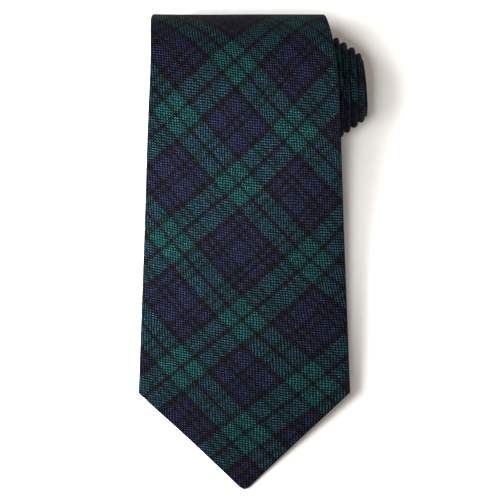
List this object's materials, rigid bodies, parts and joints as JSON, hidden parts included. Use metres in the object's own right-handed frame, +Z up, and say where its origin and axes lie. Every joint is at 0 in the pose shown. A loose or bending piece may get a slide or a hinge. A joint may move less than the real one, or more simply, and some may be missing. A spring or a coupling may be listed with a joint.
{
  "type": "necktie",
  "caption": "Necktie of tartan wool cloth wound into a roll from its narrow end, with the pointed blade laid over the roll.",
  "frame": {"origin": "on the table, under the middle of the tie's box", "axes": "+Z up, X across the blade, -Y from the roll towards the blade's point"},
  "size_m": [0.0932, 0.1934, 0.058],
  "materials": {
    "tartan": "matt plain-woven wool in a navy, green and black tartan, cut on the bias",
    "canvas": "brushed wool interlining",
    "satin": "plain navy satin lining",
    "thread": "navy sewing thread",
    "ribbon": "blank white satin ribbon"
  },
  "bodies": {
    "roll": {"front_panel_roll": "tartan", "interlining_roll": "canvas", "neck_panel": "tartan", "tail_panel": "tartan", "tail_tipping": "satin", "tail_bar_tack": "thread"},
    "blade": {"front_panel_blade": "tartan", "interlining_blade": "canvas", "blade_tipping": "satin", "slip_stitch_thread": "thread", "blade_bar_tack": "thread", "label": "satin", "label_stitch_left": "thread", "label_stitch_right": "thread", "keeper_loop": "tartan", "keeper_stitch_left": "thread", "keeper_stitch_right": "thread", "care_tag": "ribbon"}
  },
  "joints": [
    {"name": "blade_lift", "type": "hinge", "parent": "roll", "child": "blade", "pos_m": [0, 0.05727, 0.05622], "axis": [-1, 0, 0], "range_deg": [0, 90]}
  ]
}
